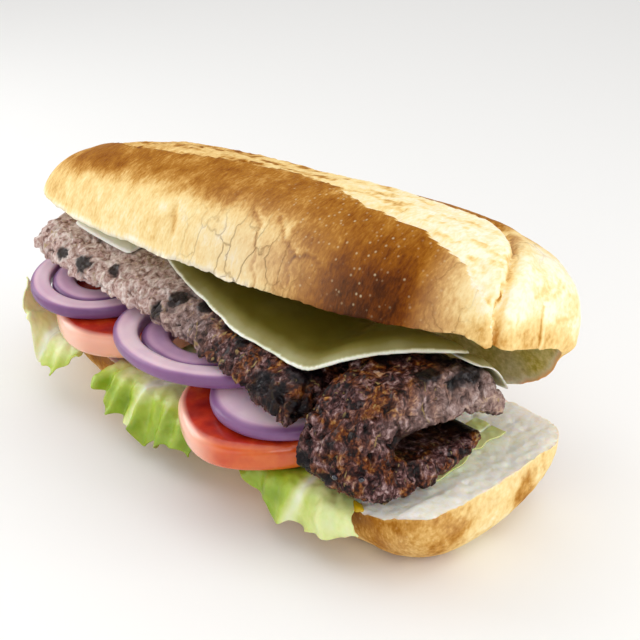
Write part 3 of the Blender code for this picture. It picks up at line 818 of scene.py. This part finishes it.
def onion_ring(name, node, onion, blush=0, drop=0):
    """One ring of a slice: flat cut faces, a bulging purple outside and a thin pale inside."""
    middle, axes, seen = flat_frame(node)
    half_length, half_width, half_thick = np.abs(seen).max(0)
    radius = np.hypot(seen[:, 0] / half_length, seen[:, 1] / half_width)
    wall = half_width * (1 - radius.min())
    obj = primitive(name, bpy.ops.mesh.primitive_torus_add, major_segments=160, minor_segments=28,
                    major_radius=1, minor_radius=0.1)
    co = points(obj) * MM
    turn = np.arctan2(co[:, 1], co[:, 0])
    out, up = (np.hypot(co[:, 0], co[:, 1]) - 1) / 0.1, co[:, 2] / 0.1
    out, up = (np.sign(v) * np.abs(v) ** 0.45 for v in (out, up))
    r = half_width - wall / 2 + out * wall / 2 - 0.8 * np.abs(up) ** 2 * (out > 0.3)
    shaped = np.stack([r * np.cos(turn) * half_length / half_width, r * np.sin(turn), up * half_thick], 1)
    shaped[:, 2] += 0.3 * lumps(shaped, 14, 60)
    set_points(obj, middle + shaped @ axes - (0, 0, drop))
    depth = (1 - out) / 2
    line = spot(depth, 0.55, 0.05) * (np.abs(up) > 0.6)
    skin = np.maximum(0.85 * ramp(depth, 0.2, 0.02), 0.18 * line) + 0.45 * ramp(depth, 0.93, 1.0)
    # Painted shade: blush makes the whole ring darker and more purple; the inner rings, set lower in the holes, get the
    # most.
    paint(obj, "skin", blush + skin + 0.15 * lumps(shaped, 16, 61))
    return finish_piece(obj, "onion", [onion], node)


def tomato_slice(name, node, tomato, pale):
    """A thick slice: a domed glossy skin round it, and a wet, slightly sunken cut face."""
    middle, axes, seen = flat_frame(node)
    radius, _, half_thick = np.abs(seen).max(0)
    obj = primitive(name, bpy.ops.mesh.primitive_uv_sphere_add, segments=128, ring_count=64, radius=1)
    co = points(obj) * MM
    turn = np.arctan2(co[:, 1], co[:, 0])
    r, up = np.hypot(co[:, 0], co[:, 1]), co[:, 2]
    flat = np.sign(up) * np.minimum(1, np.abs(up) * 2.2)
    r = np.where(np.abs(up) * 2.2 < 1, 1 - 0.1 * flat**4, r / np.sqrt(1 - (1 / 2.2) ** 2) * 0.9)
    swell = 1 + 0.02 * np.cos(5 * turn + 0.8)
    shaped = np.stack([radius * swell * r * np.cos(turn), radius * swell * r * np.sin(turn), half_thick * flat], 1)
    shaped[:, 2] += 0.25 * lumps(shaped, 9, 70) * (r < 0.85)
    set_points(obj, middle + shaped @ axes)
    paint(obj, "skin", ramp(r, 0.9, 0.95))
    # Painted highlight: pale on one side, where the left lamp's reflection falls, and all over by the given amount.
    paint(obj, "pale", pale + 0.85 * ramp(np.cos(turn + 2.32), 0.45, 0.85))
    return finish_piece(obj, "tomato", [tomato], node)


# ---------------------------------------------------------------- lettuce


def through(line, share):
    """Points at shares, 0 to 1, of a smooth curve through a line of points."""
    line = np.array(line, float)
    spans = len(line) - 1
    place = np.clip(share, 0, 1) * spans
    i = np.minimum(place.astype(int), spans - 1)
    t = (place - i)[:, None]
    p = [line[np.clip(i + k, 0, spans)] for k in (-1, 0, 1, 2)]
    return 0.5 * (
        2 * p[1]
        + (p[2] - p[0]) * t
        + (2 * p[0] - 5 * p[1] + 4 * p[2] - p[3]) * t**2
        + (3 * p[1] - p[0] - 3 * p[2] + p[3]) * t**3
    )


def leaf(name, node, sections, frill, green_at, material):
    """A leaf laid over the roll: sections are lines from back to front at even steps along it."""
    obj = primitive(name, bpy.ops.mesh.primitive_grid_add, x_subdivisions=150, y_subdivisions=110, size=1)
    co = points(obj) * MM + 0.5
    u, v = co[:, 0], co[:, 1]
    depth, waves, seed = frill
    ragged = 1 - 0.1 * (1 + lumps(np.stack([9 * u, 0 * u, 0 * u], 1), 1, seed))
    lines = [through(section, v * ragged) for section in sections]
    shaped = np.zeros((len(u), 3))
    for axis in range(3):
        table = np.stack([line[:, axis] for line in lines], 1)
        place = u * (len(sections) - 1)
        i = np.minimum(place.astype(int), len(sections) - 2)
        t = ramp(place - i, 0, 1) if axis else place - i
        rows = np.arange(len(u))
        shaped[:, axis] = table[rows, i] * (1 - t) + table[rows, i + 1] * t
    edge = np.abs(2 * u - 1) ** 6
    shaped[:, 0] += 2.2 * edge * lumps(shaped * (0, 1, 1), 5, seed + 3)
    set_points(obj, shaped)
    hang = ramp(v, 0.5, 1)
    wave = np.sin(2 * np.pi * (waves * u + 0.15 * np.sin(5 * v))) + 0.5 * np.sin(2 * np.pi * waves * 2.3 * u + 2)
    rib = np.abs(u - 0.5 - 0.06 * np.sin(4 * v))
    height = depth * hang * wave + (0.4 + 0.9 * hang) * lumps(shaped, 6, seed + 1) + 0.35 * lumps(shaped, 2.6, seed + 2)
    push(obj, height + 0.6 * spot(rib, 0, 0.03))
    paint(obj, "green", green_at(u, v) - 0.5 * spot(rib, 0, 0.05))
    apply(obj, "SOLIDIFY", thickness=0.6 * MM, offset=0)
    return finish_piece(obj, "lettuce", [material], node)


def leaves(material):
    far = [
        [(-104, 30, 36), (-104, 0, 34), (-104, -24, 35), (-103, -36, 41), (-100, -42, 47), (-96, -45, 50)],
        [(-96, 30, 34), (-96, 0, 31.5), (-95, -28, 31), (-94, -42, 34), (-92, -47, 36), (-91, -49, 33)],
        [(-86, 30, 34), (-86, 0, 31.5), (-86, -28, 29.5), (-86, -42, 27), (-86, -48, 20), (-86, -50, 12)],
        [(-76, 30, 34), (-76, 0, 31.5), (-74, -28, 29.5), (-74, -42, 27), (-73, -47, 20), (-73, -50, 13)],
        [(-66, 30, 34), (-66, 0, 31.5), (-64, -26, 29.5), (-63, -38, 28), (-62, -42, 27), (-62, -45, 26)],
    ]
    leaf("lettuce_leaf_far", "lettuce_far", far, (1.2, 2.5, 80), lambda u, v: 0.22 + 0.35 * ramp(u, 0.3, 0.6) * ramp(v, 0.6, 1), material)
    mid = [
        [(-44, 30, 33), (-44, 10, 30), (-44, -24, 27.5), (-45, -40, 27), (-45, -46, 24), (-46, -49, 20)],
        [(-30, 30, 33), (-30, 10, 30), (-30, -24, 27), (-30, -40, 26), (-30, -46, 18), (-30, -50, 10)],
        [(-12, 30, 33), (-12, 10, 30), (-12, -24, 27), (-12, -40, 26), (-11, -46, 15), (-10, -51, 5)],
        [(10, 30, 33), (10, 10, 30), (10, -24, 27), (12, -40, 26), (13, -46, 19), (14, -50, 11)],
    ]
    leaf("lettuce_leaf_mid", "lettuce_mid", mid, (2.4, 3.5, 84), lambda u, v: 0.25 + 0.5 * ramp(v, 0.5, 0.85), material)
    near = [
        [(46, 30, 33), (46, 10, 30), (46, -24, 26.5), (45, -41, 26), (44, -46, 22), (43, -48, 17)],
        [(58, 30, 33), (58, 10, 30), (60, -24, 26.5), (62, -41, 25.5), (63, -45.5, 17), (63, -46, 8)],
        [(68, 30, 33), (68, 10, 30), (74, -24, 26.5), (80, -41, 25.5), (82, -45, 17), (83, -45, 9)],
        [(76, 30, 33), (76, 10, 30), (86, -24, 26.5), (96, -41, 26), (99, -44, 21), (100, -43, 17)],
    ]
    leaf("lettuce_leaf_near", "lettuce_near", near, (1.6, 2.5, 88), lambda u, v: 0.35 + 0.4 * ramp(u, 0.75, 0.35), material)
    end = [
        [(88, 30, 31.5), (88, 14, 30.5), (87, -2, 29.5), (87, -12, 29)],
        [(96, 30, 31.5), (96, 14, 30.5), (97, -2, 29.5), (97, -12, 29)],
        [(102, 30, 31.5), (103, 14, 30.5), (105, -2, 29.5), (105, -12, 29)],
    ]
    leaf("lettuce_leaf_end", "lettuce_end", end, (0.4, 1.5, 92), lambda u, v: 0.35 + 0 * u, material)


# ---------------------------------------------------------------- small things


def blob(name, under, middle, reach, sink, material, seed):
    """A rounded lump of those half lengths, resting on what is under it and sunk in a little."""
    obj = primitive(name, bpy.ops.mesh.primitive_uv_sphere_add, segments=64, ring_count=32, radius=1)
    place = Vector(under.closest_point_on_mesh(Vector(middle) * MM)[1]) / MM
    co = points(obj) * MM * reach
    co += 0.25 * min(reach) * outward(obj) * lumps(co, 1.2 * min(reach), seed)[:, None]
    set_points(obj, co + np.array(place) - (0, 0, sink))
    return finish_piece(obj, None, [material])


def small_things(heel, fold):
    sauce, pepper = yellow_mustard(), cracked_pepper()
    blob("sauce_smear", heel, (92, -36, 26), (5, 2.2, 1.3), 0.1, sauce, 95)
    for index, middle in enumerate([(95.3, -47.7, 42.6), (102.2, -42.2, 43.5)]):
        blob(f"peppercorn_bit_{index + 1}", fold, middle, (1.1, 1, 0.9), 0, pepper, 96 + index)


# ---------------------------------------------------------------- surroundings


def surroundings():
    floor = primitive("floor", bpy.ops.mesh.primitive_plane_add, size=8)
    floor.data.materials.append(pale_board())
    world = bpy.data.worlds.new("studio")
    bpy.context.scene.world = world
    world.use_nodes = True
    world.node_tree.nodes["Background"].inputs["Color"].default_value = srgb("#ffffff")
    world.node_tree.nodes["Background"].inputs["Strength"].default_value = 0.5
    bpy.context.scene.view_settings.view_transform = "Standard"


def softbox(name, place, aim, size, watts):
    light = bpy.data.lights.new(name, "AREA")
    light.shape = "RECTANGLE"
    light.size, light.size_y = (side * MM for side in size)
    light.energy = watts
    obj = bpy.data.objects.new(name, light)
    bpy.context.scene.collection.objects.link(obj)
    obj.location = Vector(place) * MM
    obj.rotation_euler = (Vector(aim) - Vector(place)).to_track_quat("-Z", "Y").to_euler()


def camera(azimuth, elevation, distance, aim, lens):
    data = bpy.data.cameras.new("camera")
    data.lens = lens
    data.clip_start = 0.01
    obj = bpy.data.objects.new("camera", data)
    bpy.context.scene.collection.objects.link(obj)
    a, e = math.radians(azimuth), math.radians(elevation)
    back = Vector((math.sin(a) * math.cos(e), -math.cos(a) * math.cos(e), math.sin(e)))
    obj.location = (Vector(aim) + distance * back) * MM
    obj.rotation_euler = (-back).to_track_quat("-Z", "Y").to_euler()
    bpy.context.scene.camera = obj


def main():
    crust, crumb, meat = baked_crust(), soft_crumb(), grilled_mince()
    cheese, onion, tomato, lettuce = mild_cheese(), red_onion(), ripe_tomato(), leaf_lettuce()
    heel = bottom_half(crust, crumb)
    top_half(crust, crumb)
    meat_strip(meat)
    fold = meat_fold(meat)
    cheese_slice("cheese_slice_far", "cheese_far", cheese, whiteness=0.45)
    cheese_slice("cheese_slice_mid", "cheese_mid", cheese)
    cheese_slice("cheese_slice_near", "cheese_near", cheese, thin=0.5, whiteness=0.15)
    # Painted shade: the rings darken by blush, most for the inner rings sunk in the holes.
    onion_ring("onion_ring_far_outer", "onion_far_outer", onion, blush=0.1)
    onion_ring("onion_ring_far_inner", "onion_far_inner", onion, blush=0.25, drop=1)
    onion_ring("onion_ring_mid_outer", "onion_mid_outer", onion)
    onion_ring("onion_ring_mid_inner", "onion_mid_inner", onion, blush=0.4, drop=2)
    onion_ring("onion_ring_near", "onion_near", onion)
    # Painted light: the far slice's skin is pale pink all over.
    tomato_slice("tomato_slice_far", "tomato_far", tomato, pale=0.7)
    tomato_slice("tomato_slice_mid", "tomato_mid", tomato, pale=0)
    leaves(lettuce)
    small_things(heel, fold)
    surroundings()
    softbox("overhead", (-250, 300, 1500), (-250, 300, 0), (2400, 2400), 14.5)
    softbox("near_end", (640, 260, 300), (60, 0, 50), (380, 340), 1.7)
    softbox("far_end", (-600, -240, 330), (-60, 0, 50), (380, 380), 1.4)
    softbox("front", (-60, -1100, 420), (0, 0, 20), (1100, 700), 2.5)
    softbox("near_front", (520, -430, 560), (90, 0, 30), (260, 260), 0.6)
    camera(47, 26, 510, (17.52, 18.23, 50), 36 * 1300 / 640)


main()
